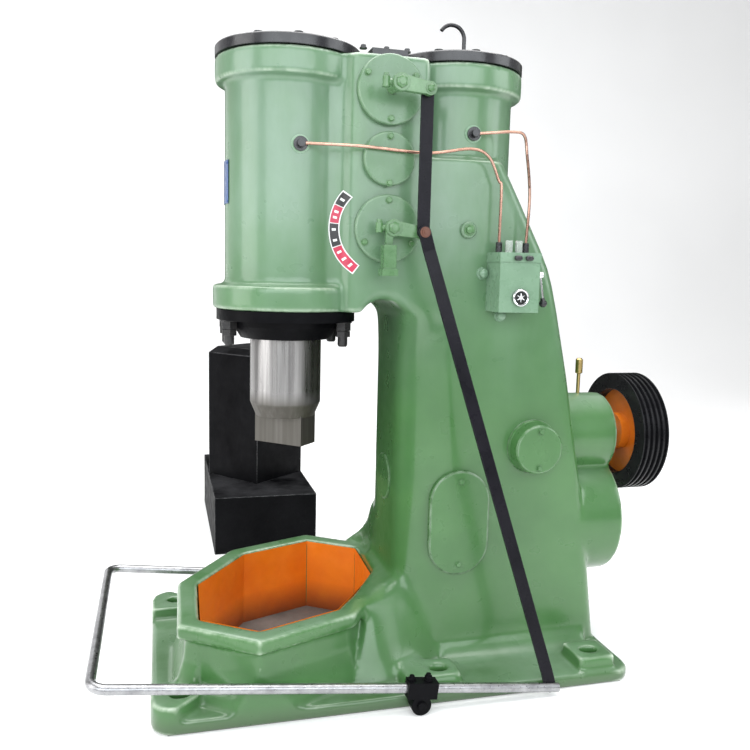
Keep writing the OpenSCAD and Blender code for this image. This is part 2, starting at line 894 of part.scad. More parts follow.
module treadle_clamps() color(black) {
    clamp_l = 100;
    clamp_w = 62;
    boss_r = 33;
    at_treadle()
        for (s = [-1, 1])
            translate([0, s*(treadle_y + 4), 0])
                difference() {
                    union() {
                        rotate([90, 0, 0])
                            cylinder(r = boss_r, h = clamp_w - 16, center = true);
                        translate([-clamp_l/2, -clamp_w/2 + 8, bar_lift - bar_r - 10])
                            cube([clamp_l, clamp_w - 16, 2*bar_r + 22]);
                    }
                    translate([-clamp_l, -s*4, bar_lift])
                        rotate([0, 90, 0])
                            cylinder(r = bar_r, h = 2*clamp_l);
                    rotate([90, 0, 0])
                        cylinder(r = 14 + slide_gap, h = clamp_w + 2, center = true);
                }
}

module treadle_pins() color(steel) {
    for (s = [-1, 1])
        translate([ram_x + pivot_x, s*(base_w/2), pivot_z])
            rotate([-s*90, 0, 0])
                cylinder(r = 14, h = treadle_y - base_w/2 + 36);
}

module oval_cover() color(green) {
    w = 222;
    h = 376;
    t = 18;
    x = 584;
    z = 542;
    translate([ram_x + x, -column_half_w, z])
        rotate([90, 90, 0]) {
            linear_extrude(t - edge)
                slot_outline(h, w);
            translate([0, 0, t - edge])
                linear_extrude(edge)
                    slot_outline(h - 2*edge, w - 2*edge);
        }
}

module round_side_cover() color(green) {
    r = 92;
    t = 62;
    x = 858;
    translate([ram_x + x, -column_half_w, shaft_z])
        rotate([90, 0, 0])
            rotate_extrude()
                polygon([[0, 0], [r + 6, 0], [r, 10], [r - 4, t - 6], [r - 9, t], [0, t]]);
}

module shaft_housing() color(green) {
    x = rear_x(shaft_z) - 10;
    difference() {
        translate([x, 0, shaft_z])
            rotate([0, 90, 0])
                cylinder(r = shaft_housing_r, h = housing_end - x);
        column_body();
        translate([x - 1, 0, shaft_z])
            rotate([0, 90, 0])
                cylinder(r = shaft_r + slide_gap, h = 400);
    }
}

module gear_housing() color(green) {
    x = rear_x(gear_z + gear_housing_r) - 10;
    difference() {
        translate([x, 0, gear_z])
            rotate([0, 90, 0])
                cylinder(r = gear_housing_r, h = housing_end - x);
        column_body();
        translate([x - 1, 0, shaft_z])
            rotate([0, 90, 0])
                cylinder(r = shaft_housing_r, h = 400);
    }
}

module pulley_rim() color(black) {
    pitch = pulley_w/groove_n;
    translate([pulley_x, 0, shaft_z])
        rotate([0, 90, 0])
            difference() {
                cylinder(r = pulley_r, h = pulley_w);
                translate([0, 0, -1])
                    cylinder(r = pulley_rim_r, h = pulley_w + 2);
                for (i = [0:groove_n - 1])
                    translate([0, 0, pitch*(i + 0.5)])
                        rotate_extrude()
                            polygon([
                                [pulley_r + 1, -pitch*0.36], [pulley_r - groove_d, -pitch*0.2],
                                [pulley_r - groove_d, pitch*0.2], [pulley_r + 1, pitch*0.36]
                            ]);
            }
}

module pulley_web() color(orange) {
    web_t = 26;
    hub_r = 72;
    translate([pulley_x, 0, shaft_z])
        rotate([0, 90, 0])
            difference() {
                union() {
                    translate([0, 0, pulley_w/2 - web_t/2])
                        cylinder(r = pulley_rim_r, h = web_t);
                    translate([0, 0, 4])
                        cylinder(r = hub_r, h = pulley_w - 8);
                }
                translate([0, 0, -1])
                    cylinder(r = shaft_r, h = pulley_w + 2);
            }
}

module pulley_shaft() color(steel) {
    tail = 150;
    translate([housing_end - tail, 0, shaft_z])
        rotate([0, 90, 0])
            cylinder(r = shaft_r, h = pulley_x + pulley_w - housing_end + tail + 8);
}

module shaft_oiler() color(steel) {
    stem_h = 80;
    cup_h = 62;
    inset = 96;
    difference() {
        translate([housing_end - inset, 0, shaft_z + shaft_housing_r - edge])
            rotate_extrude()
                polygon([
                    [0, 0], [7, 0], [7, stem_h], [14, stem_h + 4], [14, stem_h + cup_h - 6],
                    [8, stem_h + cup_h], [0, stem_h + cup_h]
                ]);
        translate([ram_x, 0, shaft_z])
            rotate([0, 90, 0])
                cylinder(r = shaft_housing_r, h = housing_end - ram_x);
    }
}

module lubricator_box() color(green) {
    translate([ram_x + lub_x, -column_half_w - lub_d, lub_z])
        cube([lub_w, lub_d, lub_h]);
}

module lubricator_lid() color(green) {
    lip = 2;
    translate([ram_x + lub_x - lip, -column_half_w - lub_d - lip, lub_z + lub_h])
        cube([lub_w + 2*lip, lub_d + lip, lid_t]);
}

module lubricator_glass() color(glass) {
    translate([ram_x + lub_x + lub_w*0.51, -column_half_w - lub_d, lub_z + 50])
        face_disc(28, 10);
}

module sight_tubes() color(glass) {
    for (i = [0, 1])
        translate([ram_x + lub_x + 46 + 36*i, -column_half_w - 70, lub_top])
            cylinder(r = 12, h = 40);
}

module lubricator_lever() color(black) {
    x = ram_x + lub_x + lub_w;
    z = lub_z + lub_h - 40;
    y = -column_half_w - lub_d/2;
    hub_l = 36;
    arm = 98;
    lean = 10;
    translate([x + air, y, z]) {
        rotate([0, 90, 0])
            cylinder(r = 11, h = hub_l);
        translate([hub_l - 9, 0, 0])
            rotate([0, -lean, 0]) {
                translate([0, 0, -arm])
                    cylinder(r = 5, h = arm);
                translate([0, 0, -arm])
                    sphere(13);
            }
    }
}

// Smooth curve through points, k steps between two of them
function spline(p, k) = [
    for (i = [0:len(p) - 2], j = [0:k - 1])
        let (a = p[max(i - 1, 0)], b = p[i], c = p[i + 1], d = p[min(i + 2, len(p) - 1)], t = j/k)
        0.5*(2*b + (c - a)*t + (2*a - 5*b + 4*c - d)*t*t + (3*b - a - 3*c + d)*t*t*t),
    p[len(p) - 1]
];
function unit(v) = v/norm(v);
function run_dir(p, i) = unit(p[min(i + 1, len(p) - 1)] - p[max(i - 1, 0)]);
function square_to(v, t) = unit(v - t*(v*t));
// Side vectors carried along the run without twist
function run_sides(p, i, v) =
    let (w = square_to(v, run_dir(p, i)))
    i == len(p) - 1 ? [w] : concat([w], run_sides(p, i + 1, w));

// Round tube swept along a run of points
module tube_run(p, r) {
    n = 10;
    last = len(p) - 1;
    side = run_sides(p, 0, [0, 0, 1]);
    rings = [
        for (i = [0:last], j = [0:n - 1])
            let (w = cross(run_dir(p, i), side[i]), a = 360*j/n)
            p[i] + r*(cos(a)*side[i] + sin(a)*w)
    ];
    walls = [
        for (i = [0:last - 1], j = [0:n - 1], h = [0, 1])
            let (a = i*n + j, b = i*n + (j + 1)%n)
            h == 0 ? [a, b + n, b] : [a, a + n, b + n]
    ];
    ends = [[for (j = [0:n - 1]) j], [for (j = [n - 1:-1:0]) last*n + j]];
    polyhedron(rings, concat(walls, ends));
}

module front_oil_pipe() color(copper) {
    y = -chest_face - valve_cover_t - 14;
    x = ram_x + lub_x + lub_pipe_x[0];
    x0 = ram_x + fitting_x + nut_r;
    run = x - x0;
    tube_run(spline([
        [x0, -ram_cyl_r - nut_reach, front_fitting_z],
        [x0 + 0.06*run, -ram_cyl_r - nut_reach - 6, front_fitting_z],
        [x0 + 0.28*run, y, front_fitting_z - 4], [x0 + 0.6*run, y, front_fitting_z - 12],
        [x0 + 0.83*run, y, front_fitting_z + 10], [x0 + 0.93*run, y, front_fitting_z - 12],
        [x - 8, y, front_fitting_z - 86], [x, lub_pipe_y, lub_top + 210], [x, lub_pipe_y, lub_top + stub_h]
    ], 6), pipe_r);
}

module rear_oil_pipe() color(copper) {
    x = ram_x + lub_x + lub_pipe_x[1];
    y = -pump_cyl_r - nut_reach;
    x0 = pump_x + nut_r;
    run = x - x0;
    tube_run(spline([
        [x0, y, rear_fitting_z], [x0 + 0.25*run, y - 4, rear_fitting_z + 4],
        [x0 + 0.7*run, y - 6, rear_fitting_z + 12], [x0 + 0.98*run, y - 6, rear_fitting_z + 4],
        [x + 10, y - 8, rear_fitting_z - 60], [x + 6, lub_pipe_y, lub_top + 190],
        [x, lub_pipe_y, lub_top + stub_h]
    ], 6), pipe_r);
}

module wall_fitting() {
    rotate([90, 0, 0]) {
        cylinder(r = 23, h = 12 + edge);
        cylinder(r = nut_r, h = nut_reach + nut_r + edge);
    }
}

module oil_fittings() color(black) {
    difference() {
        translate([ram_x + fitting_x, -ram_cyl_r + edge, front_fitting_z])
            wall_fitting();
        translate([ram_x, 0, throat_z])
            cylinder(r = ram_cyl_r, h = cyl_top - throat_z);
    }
    difference() {
        translate([pump_x, -pump_cyl_r + edge, rear_fitting_z])
            wall_fitting();
        translate([pump_x, 0, throat_z])
            cylinder(r = pump_cyl_r, h = cyl_top - throat_z);
    }
    for (x = lub_pipe_x)
        translate([ram_x + lub_x + x, lub_pipe_y, lub_top])
            cylinder(r = 11, h = stub_h);
}

module breather() color(black) {
    stem = 88;
    bend_r = 46;
    r = 7;
    translate([pump_x + 32, 0, cover_top]) {
        cylinder(r = r, h = stem);
        translate([-bend_r, 0, stem])
            rotate([90, 0, 0])
                rotate_extrude(angle = 150)
                    translate([bend_r, 0])
                        circle(r, $fn = 32);
    }
}

module plug_boss() color(green) {
    plug_x = 580;
    plug_drop = 234;
    translate([ram_x + plug_x, -column_half_w, shoulder_z - plug_drop])
        face_disc(28, 14);
}

module anvil_foot_block() color(black) {
    translate([ram_x + anvil_x, anvil_y, anvil_foot_h/2])
        cube([anvil_foot_w, anvil_foot_l, anvil_foot_h], center = true);
}

module anvil_post_block() color(black) {
    half = anvil_post/2;
    side = [
        [-half, anvil_foot_h], [half, anvil_foot_h], [half, anvil_h - anvil_bevel],
        [half - anvil_bevel, anvil_h], [-half + anvil_bevel, anvil_h], [-half, anvil_h - anvil_bevel]
    ];
    translate([ram_x + anvil_x, anvil_y, 0])
        rotate(anvil_post_turn)
            intersection() {
                rotate([90, 0, 0])
                    linear_extrude(anvil_post, center = true)
                        polygon(side);
                rotate([90, 0, 90])
                    linear_extrude(anvil_post, center = true)
                        polygon(side);
            }
}

base_casting();
column_casting();
column_front_cover();
ram_cylinder();
pump_cylinder();
column_shoulder();
valve_chest();
ram_cylinder_cover();
pump_cylinder_cover();
chest_cover();
gland_ring();
ram();
upper_valve_cover();
middle_valve_cover();
lower_valve_cover();
upper_valve_lever();
lower_valve_lever();
short_link();
long_link();
treadle_bar();
treadle_clamps();
treadle_pins();
oval_cover();
round_side_cover();
shaft_housing();
gear_housing();
pulley_rim();
pulley_web();
pulley_shaft();
shaft_oiler();
lubricator_box();
lubricator_lid();
lubricator_glass();
sight_tubes();
lubricator_lever();
front_oil_pipe();
rear_oil_pipe();
oil_fittings();
breather();
plug_boss();
anvil_foot_block();
anvil_post_block();
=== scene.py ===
import bmesh
import bpy
import math
import numpy as np
from mathutils import Matrix, Vector


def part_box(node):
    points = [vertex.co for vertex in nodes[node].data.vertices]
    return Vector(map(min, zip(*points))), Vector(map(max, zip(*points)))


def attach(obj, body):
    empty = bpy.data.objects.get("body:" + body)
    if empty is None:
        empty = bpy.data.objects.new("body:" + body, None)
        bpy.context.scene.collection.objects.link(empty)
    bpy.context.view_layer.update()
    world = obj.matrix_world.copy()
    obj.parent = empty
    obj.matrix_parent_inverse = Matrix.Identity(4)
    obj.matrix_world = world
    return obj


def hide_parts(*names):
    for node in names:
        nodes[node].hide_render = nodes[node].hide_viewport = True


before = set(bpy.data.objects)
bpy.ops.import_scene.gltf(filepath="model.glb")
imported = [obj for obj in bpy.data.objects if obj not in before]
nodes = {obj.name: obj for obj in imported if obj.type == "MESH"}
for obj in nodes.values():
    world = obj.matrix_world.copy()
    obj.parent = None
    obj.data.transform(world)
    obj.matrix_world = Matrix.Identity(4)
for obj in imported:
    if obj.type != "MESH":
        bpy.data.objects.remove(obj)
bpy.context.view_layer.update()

# Frame casting: base, column, both cylinders, valve chest and drive housings are one iron casting.
# Sand-cast grey iron, filled, sanded and sprayed with gloss green enamel, with painted highlights along its edges.
# Its parts run into each other with large fillets, so they are joined to one skin here.


def nodes_of(mat):
    # Short tools for one material's nodes.
    tree = mat.node_tree

    def add(kind, **values):
        node = tree.nodes.new(kind)
        for key, value in values.items():
            if key in node.inputs:
                node.inputs[key].default_value = value
            else:
                setattr(node, key, value)
        return node

    def join(a, out, b, inp):
        tree.links.new(a.outputs[out], b.inputs[inp])

    def span(source, out, low, high, to_low=0.0, to_high=1.0):
        node = add("ShaderNodeMapRange")
        for key, value in (("From Min", low), ("From Max", high), ("To Min", to_low), ("To Max", to_high)):
            node.inputs[key].default_value = value
        join(source, out, node, "Value")
        return node

    def times(a, b):
        node = add("ShaderNodeMath", operation="MULTIPLY")
        join(a, 0, node, 0)
        join(b, 0, node, 1)
        return node

    def over(below, colour, mask):
        node = add("ShaderNodeMix", data_type="RGBA")
        join(mask, 0, node, 0)
        join(below, 2, node, 6)
        node.inputs[7].default_value = (*colour, 1)
        return node

    return tree, add, join, span, times, over


def finish(name, dark, light, rough=(0.25, 0.4), bump=0.25, grain=0.12, patch=3.0, coat=0.25, metal=0.0, edge=0.004,
           stretch=(1, 1, 1), shine=0.5, painted_sheen=None, edge_highlight=None, stain_and_shade=None, dust_and_top_light=None, edge_wear_and_highlight=None):
    # A surface in two tones, with waves, grain and rounded edges. Its marks are a tone below a height, a stain on some
    # finishes and painted shade on others;
    # a pale streaky painted sheen above a height; paler faces that look up, dust on some finishes and painted top light
    # on others; painted highlights on rises of a fine mesh; and paler sharp edges, wear on some finishes and painted
    # highlights on others.
    mat = bpy.data.materials.new(name)
    mat.use_nodes = True
    tree, add, join, span, times, over = nodes_of(mat)
    shader = tree.nodes["Principled BSDF"]
    place = add("ShaderNodeTexCoord")
    shape = add("ShaderNodeNewGeometry")
    scaled = add("ShaderNodeMapping", Scale=stretch)
    join(place, "Object", scaled, "Vector")
    wide = add("ShaderNodeTexNoise", Scale=patch, Detail=5.0, Roughness=0.6)
    cast = add("ShaderNodeTexNoise", Scale=patch * 5, Detail=2.5)
    fine = add("ShaderNodeTexNoise", Scale=patch * 55, Detail=3.0)
    for noise in (wide, cast, fine):
        join(scaled, "Vector", noise, "Vector")
    colour = add("ShaderNodeMix", data_type="RGBA")
    join(span(wide, "Fac", 0.3, 0.7), 0, colour, 0)
    colour.inputs[6].default_value = (*dark, 1)
    colour.inputs[7].default_value = (*light, 1)
    gloss = span(cast, "Fac", 0.3, 0.7, *rough)
    waves = add("ShaderNodeBump", Strength=bump, Distance=0.01)
    skin = add("ShaderNodeBump", Strength=grain, Distance=0.001)
    join(cast, "Fac", waves, "Height")
    join(fine, "Fac", skin, "Height")
    if stain_and_shade or painted_sheen:
        heights = add("ShaderNodeSeparateXYZ")
        join(place, "Object", heights, "Vector")
    # Tone below a height: a real stain on the ram's forged block, painted shade on the well lining, and a darker foot
    # on the casting.
    if stain_and_shade:
        low, high, tone, *dull = stain_and_shade
        stain_and_shade_mask = times(span(heights, "Z", low, high, 1.0, 0.0), span(cast, "Fac", 0.3, 0.6, 0.9, 1.0))
        colour = over(colour, tone, stain_and_shade_mask)
        if dull:
            blend = add("ShaderNodeMix", data_type="FLOAT")
            join(stain_and_shade_mask, 0, blend, 0)
            join(gloss, 0, blend, 2)
            blend.inputs[3].default_value = dull[0]
            gloss = blend
    # Painted sheen: a pale, streaky haze laid on the colour above a height.
    if painted_sheen:
        low, high, tone = painted_sheen
        sheen_scale = add("ShaderNodeMapping", Scale=(4.5, 4.5, 1.5))
        join(place, "Object", sheen_scale, "Vector")
        streaks = add("ShaderNodeTexNoise", Scale=1.0, Detail=6.0, Roughness=0.6, Distortion=0.3)
        join(sheen_scale, "Vector", streaks, "Vector")
        sheen_mask = times(span(heights, "Z", low, high), span(streaks, "Fac", 0.36, 0.68, 0.20, 0.50))
        colour = over(colour, tone, sheen_mask)
    # Faces that look up turn paler: dust on the anvil, painted top light on the casting.
    if dust_and_top_light:
        faces = add("ShaderNodeSeparateXYZ")
        join(shape, "Normal", faces, "Vector")
        colour = over(colour, dust_and_top_light, times(span(faces, "Z", 0.5, 0.95), span(wide, "Fac", 0.35, 0.65)))
    # Painted highlights on the convex rises of a fine mesh.
    if edge_highlight:
        low, high, tone = edge_highlight
        highlight_rises = times(span(shape, "Pointiness", low, high), span(cast, "Fac", 0.35, 0.55, 0.2, 0.9))
        colour = over(colour, tone, highlight_rises)
    if edge:
        rounded = add("ShaderNodeBevel", samples=4)
        rounded.inputs["Radius"].default_value = edge
        join(rounded, "Normal", waves, "Normal")
    # Sharp edges turn paler: wear on the gland studs and anvil, painted highlights on the covers, and both on the
    # links.
    if edge_wear_and_highlight:
        bend = add("ShaderNodeVectorMath", operation="DOT_PRODUCT")
        join(shape, "Normal", bend, 0)
        join(rounded, "Normal", bend, 1)
        worn_and_highlit_edges = times(span(bend, "Value", 0.985, 0.86), span(cast, "Fac", 0.35, 0.6, 0.15, 0.9))
        colour = over(colour, edge_wear_and_highlight, worn_and_highlit_edges)
    join(colour, 2, shader, "Base Color")
    join(gloss, 0, shader, "Roughness")
    join(waves, "Normal", skin, "Normal")
    join(skin, "Normal", shader, "Normal")
    shader.inputs["Metallic"].default_value = metal
    shader.inputs["Coat Weight"].default_value = coat
    shader.inputs["Coat Roughness"].default_value = 0.14
    shader.inputs["Specular IOR Level"].default_value = shine
    return mat


def piece(name, bm, mat, body, smooth=True, crease=38):
    # A finished piece that rides on a body; edges sharper than the crease angle stay sharp.
    mesh = bpy.data.meshes.new(name)
    bm.normal_update()
    bm.to_mesh(mesh)
    bm.free()
    mesh.materials.append(mat)
    if smooth:
        for poly in mesh.polygons:
            poly.use_smooth = True
        mesh.set_sharp_from_angle(angle=math.radians(crease))
    obj = bpy.data.objects.new(name, mesh)
    bpy.context.scene.collection.objects.link(obj)
    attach(obj, body)
    return obj


def rod(bm, a, b, r0, r1=None, seg=24):
    # Round or six-sided bar from a to b, tapered where a second radius is given.
    a, b = Vector(a), Vector(b)
    turn = (b - a).to_track_quat("Z", "Y").to_matrix().to_4x4()
    place = Matrix.Translation((a + b) / 2) @ turn
    bmesh.ops.create_cone(bm, cap_ends=True, segments=seg, radius1=r0, radius2=r0 if r1 is None else r1,
                          depth=(b - a).length, matrix=place)


def between(values, low, high):
    return np.clip((values - low) / (high - low), 0, 1)


def relax(mesh, stages):
    # Even out a mesh: in each step, points of one region move a share of the way to the mean of their neighbours.
    count = len(mesh.vertices)
    points = np.empty(count * 3)
    mesh.vertices.foreach_get("co", points)
    points = points.reshape(-1, 3)
    ends = np.empty(len(mesh.edges) * 2, dtype=np.int32)
    mesh.edges.foreach_get("vertices", ends)
    a, b = ends.reshape(-1, 2).T
    partners = (np.bincount(a, minlength=count) + np.bincount(b, minlength=count))[:, None]
    x, y, z = points.T
    throat = (between(x, -0.12, -0.07) * between(-x, -0.24, -0.14)
              * between(z, 0.29, 0.34) * between(-z, -1.44, -1.36))
    apron = (between(x, -0.14, -0.06) * between(-x, -0.42, -0.34) * between(-y, 0.16, 0.22)
             * between(z, 0.045, 0.07) * between(-z, -0.36, -0.32))
    far_foot = (between(x, 0.04, 0.10) * between(-x, -0.50, -0.40) * between(y, 0.15, 0.20)
                * between(z, 0.06, 0.10) * between(-z, -0.80, -0.66))
    regions = {
        "whole skin": np.ones(count),
        "fillets": np.maximum(np.maximum(throat, apron), far_foot),
        "upper apron": apron * between(x, -0.06, 0.0) * between(z, 0.10, 0.14),
    }
    for region, steps, share in stages:
        shares = (share * regions[region])[:, None]
        for step in range(steps):
            mean = np.stack([np.bincount(a, points[b, k], count) + np.bincount(b, points[a, k], count)
                             for k in range(3)], 1)
            points += (mean / partners - points) * shares
    mesh.vertices.foreach_set("co", points.ravel())


def with_modifier(name, mesh, kind, **settings):
    # The mesh as one of Blender's modifiers leaves it.
    obj = bpy.data.objects.new(name, mesh)
    bpy.context.scene.collection.objects.link(obj)
    modifier = obj.modifiers.new(name, kind)
    for key, value in settings.items():
        setattr(modifier, key, value)
    result = bpy.data.meshes.new_from_object(obj.evaluated_get(bpy.context.evaluated_depsgraph_get()))
    bpy.data.objects.remove(obj)
    return result


casting_names = ("base_casting", "column_casting", "column_shoulder", "ram_cylinder", "pump_cylinder", "valve_chest",
                 "shaft_housing", "gear_housing")
green_dark, green_light = (0.042, 0.132, 0.036), (0.064, 0.178, 0.052)
# Pale green painted as highlights on the casting's convex edges, and paler green painted as top light on faces that
# look up.
green_edge_highlight, green_top_light = (0.60, 0.70, 0.56), (0.15, 0.245, 0.15)
# The casting's green gets a pale streaky painted sheen above 0.9 m, and is darker within 7 cm of the floor.
cast_green = finish("green enamel on casting", green_dark, green_light, rough=(0.26, 0.38), bump=0.16, grain=0.05,
                    patch=2.6, coat=0.45, edge=0.0, painted_sheen=(0.9, 1.6, (0.25, 0.34, 0.29)),
                    edge_highlight=(0.517, 0.56, green_edge_highlight), stain_and_shade=(0.0, 0.07, (0.06, 0.105, 0.048)), dust_and_top_light=green_top_light)
ram_x, bore = -0.334, 0.16
column_line = ((0.30, 0.0), (0.06, 0.0), (0.06, 0.15), (0.062, 0.17), (0.070, 0.19), (0.085, 0.205), (0.12, 0.214),
               (0.16, 0.215), (0.30, 0.216))
foot_line = ((0.30, 0.0), (0.05, 0.0), (0.05, 0.20), (0.045, 0.30), (0.005, 0.385), (-0.02, 0.42), (0.11, 0.42),
             (0.148, 0.36), (0.30, 0.21))
rib_line = ((0.30, 0.0), (0.05, 0.0), (0.05, 0.20), (0.045, 0.30), (0.005, 0.385), (-0.02, 0.42), (0.055, 0.42),
            (0.075, 0.36), (0.30, 0.18))
rib_foot, flare_foot, flare_step, flare_rings, flare_power = 0.05, 0.27, 0.032, 15, 2.6
skin_voxel, skin_faces = 0.0075, 95000
bm = bmesh.new()
for name in casting_names:
    bm.from_mesh(nodes[name].data)
rod(bm, (ram_x, 0, 1.285), (ram_x, 0, 2.08), bore, seg=48)
foot_rings = [[bm.verts.new((x, y, rib_foot)) for x, y in rib_line]]
for k in range(flare_rings):
    flare = (1 - k / (flare_rings - 1)) ** flare_power
    foot_rings.append([bm.verts.new((x0 + (x1 - x0) * flare, y0 + (y1 - y0) * flare, flare_foot + flare_step * k))
                       for (x0, y0), (x1, y1) in zip(column_line, foot_line)])
for low, high in zip(foot_rings, foot_rings[1:]):
    for j in range(len(low)):
        bm.faces.new((low[j], low[j - 1], high[j - 1], high[j]))
bm.faces.new(foot_rings[0])
bm.faces.new(foot_rings[-1][::-1])
bmesh.ops.recalc_face_normals(bm, faces=bm.faces)
blocks = bpy.data.meshes.new("casting blocks")
bm.to_mesh(blocks)
bm.free()
joined = with_modifier("joined_casting", blocks, "REMESH", mode="VOXEL", voxel_size=skin_voxel)
relax(joined, (("whole skin", 5, 0.5), ("fillets", 35, 0.5), ("upper apron", 120, 0.5)))
lean = with_modifier("lean_casting", joined, "DECIMATE", ratio=min(1, skin_faces / len(joined.polygons)))
relax(lean, (("whole skin", 3, 0.4),))
bm = bmesh.new()
bm.from_mesh(lean)
casting = piece("frame_casting", bm, cast_green, "frame", crease=180)
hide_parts(*casting_names)

# Lining of the anvil well: orange primer on the eight walls of the opening in the base.
# Brushed on after casting, and darker towards the floor as painted shade in the well.
well_orange = finish("orange primer", (0.74, 0.140, 0.004), (0.90, 0.235, 0.010), rough=(0.35, 0.55), bump=0.2,
                     grain=0.2, patch=4.0, coat=0.1, stain_and_shade=(0.0, 0.12, (0.22, 0.055, 0.012)))
well_x, well_turn = -0.322, math.radians(55.2)
well_a, well_b, flat_a, flat_b, inset = 0.416, 0.274, 0.167, 0.110, 0.0035
slant = math.hypot(well_a - flat_a, well_b - flat_b)
trim_a = inset * (slant - (well_a - flat_a)) / (well_b - flat_b)
trim_b = inset * (slant - (well_b - flat_b)) / (well_a - flat_a)
end_a, end_b = (well_a - inset, flat_b - trim_b), (flat_a - trim_a, well_b - inset)
well_edge = [(x * sx, y * sy) for (x, y), sx, sy in (
    (end_a, 1, -1), (end_a, 1, 1), (end_b, 1, 1), (end_b, -1, 1),
    (end_a, -1, 1), (end_a, -1, -1), (end_b, -1, -1), (end_b, 1, -1))]
bm = bmesh.new()
rows = []
for lift in (0.0, 0.06, 0.12, 0.18, 0.24, 0.284):
    rows.append([bm.verts.new((well_x + x * math.cos(well_turn) - y * math.sin(well_turn),
                               x * math.sin(well_turn) + y * math.cos(well_turn), lift)) for x, y in well_edge])
for low, high in zip(rows, rows[1:]):
    for i in range(8):
        j = (i + 1) % 8
        bm.faces.new((low[j], low[i], high[i], high[j]))
piece("well_lining", bm, well_orange, "frame", smooth=False)

# Hand-hole cover, bearing cover and the round cover in the throat: cast iron, machined and painted with the frame.
# The two on the column's side are held by hexagon bolts that were painted over.


def dress(mat, *names):
    # Give CAD nodes their finish.
    for name in names:
        nodes[name].data.materials.clear()
        nodes[name].data.materials.append(mat)


def hexbolt(bm, at, out, size, height):
    # Bolt head with its washer.
    at, out = Vector(at), Vector(out).normalized()
    rod(bm, at - out * 0.002, at + out * height * 0.22, size * 1.35, seg=24)
    rod(bm, at + out * height * 0.22, at + out * height * 0.85, size, seg=6)
    rod(bm, at + out * height * 0.85, at + out * height, size, size * 0.8, seg=6)


# The covers' green gets a pale painted sheen above 0.9 m and painted highlights along their sharp edges.
cover_green = finish("green enamel on covers", green_dark, green_light, rough=(0.24, 0.38), bump=0.08, grain=0.08,
                     patch=4.0, coat=0.3, edge=0.008, painted_sheen=(0.9, 1.6, (0.21, 0.30, 0.24)), edge_wear_and_highlight=(0.34, 0.46, 0.33))
bolt_green = finish("green enamel on bolts", green_dark, (0.095, 0.215, 0.085), rough=(0.24, 0.38), bump=0.08,
                    grain=0.08, patch=9.0, coat=0.3, edge=0.002)
dress(cover_green, "column_front_cover", "oval_cover", "round_side_cover")
near_side = (0, -1, 0)
oval_x, oval_face = 0.250, -0.246
bearing_x, bearing_z, bearing_face, bearing_ring = 0.524, 0.806, -0.290, 0.066
bm = bmesh.new()
for z in (0.692, 0.392):
    hexbolt(bm, (oval_x, oval_face, z), near_side, 0.009, 0.010)
for turn_deg in (90, 270):
    angle = math.radians(turn_deg)
    hexbolt(bm, (bearing_x + bearing_ring * math.cos(angle), bearing_face, bearing_z + bearing_ring * math.sin(angle)),
            near_side, 0.009, 0.010)
piece("side_cover_bolts", bm, bolt_green, "frame")

# Cylinder covers and the cover between them: turned and milled iron plates in gloss black enamel.
# Cap screws sunk near their edge hold the round ones, and hexagon bolts the one between.
black_enamel = finish("black enamel", (0.006, 0.006, 0.008), (0.014, 0.014, 0.017), rough=(0.2, 0.36), bump=0.1,
                      grain=0.1, patch=5.0, coat=0.25, edge=0.004)
dress(black_enamel, "ram_cylinder_cover", "pump_cylinder_cover", "chest_cover")
pump_x = 0.261
screw_foot, screw_rim, screw_top = 2.148, 2.1510, 2.1522
bm = bmesh.new()
for middle, ring in ((ram_x, 0.205), (pump_x, 0.198)):
    for k in range(10):
        angle = math.radians(36 * k + 18)
        x, y = middle + ring * math.cos(angle), ring * math.sin(angle)
        rod(bm, (x, y, screw_foot), (x, y, screw_rim), 0.015, seg=20)
        rod(bm, (x, y, screw_rim), (x, y, screw_top), 0.015, 0.0135, seg=20)
low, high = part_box("chest_cover")
for x in (-0.118, -0.040, 0.030):
    for y in (-0.175, 0.175):
        hexbolt(bm, (x, y, high[2]), (0, 0, 1), 0.009, 0.012)
piece("cover_screws", bm, black_enamel, "frame")

# Gland under the ram cylinder: dull black cast ring that packs the ram.
# Four steel studs with washers, nuts and locknuts draw it up.
dull_black = finish("dull black paint", (0.002, 0.002, 0.0025), (0.005, 0.005, 0.006), rough=(0.3, 0.5), bump=0.15,
                    grain=0.15, patch=6.0, coat=0.0, shine=0.06, edge=0.004)
worn_black = finish("worn black steel", (0.004, 0.004, 0.005), (0.022, 0.021, 0.021), rough=(0.25, 0.45), bump=0.2,
                    grain=0.3, patch=14.0, coat=0.1, edge=0.002, edge_wear_and_highlight=(0.09, 0.087, 0.085))
dress(dull_black, "gland_ring")
stud_ring = 0.207
stud_steps = ((1.243, 1.236, 0.031, 0.031, 28), (1.236, 1.210, 0.0285, 0.0285, 6), (1.208, 1.188, 0.0270, 0.0270, 6),
              (1.240, 1.160, 0.0170, 0.0170, 20), (1.160, 1.154, 0.0170, 0.0135, 20))
bm = bmesh.new()
for turn_deg in (-28, 28, 166, -166):
    angle = math.radians(turn_deg)
    x, y = ram_x + stud_ring * math.cos(angle), stud_ring * math.sin(angle)
    for top, bottom, r0, r1, sides in stud_steps:
        rod(bm, (x, y, top), (x, y, bottom), r0, r1, seg=sides)
piece("gland_studs", bm, worn_black, "frame")

# Ram: steel bar, turned and ground, with drawn streaks along it.
# Its lower end is forged to a block and left dull, as forged.
ram_steel = finish("ground steel", (0.10, 0.098, 0.098), (0.56, 0.545, 0.535), rough=(0.2, 0.34), bump=0.02,
                   grain=0.04, patch=16.0, coat=0.0, metal=1.0, edge=0.003, stretch=(1, 1, 0.03),
                   stain_and_shade=(0.945, 1.000, (0.125, 0.118, 0.105), 0.62))
dress(ram_steel, "ram")

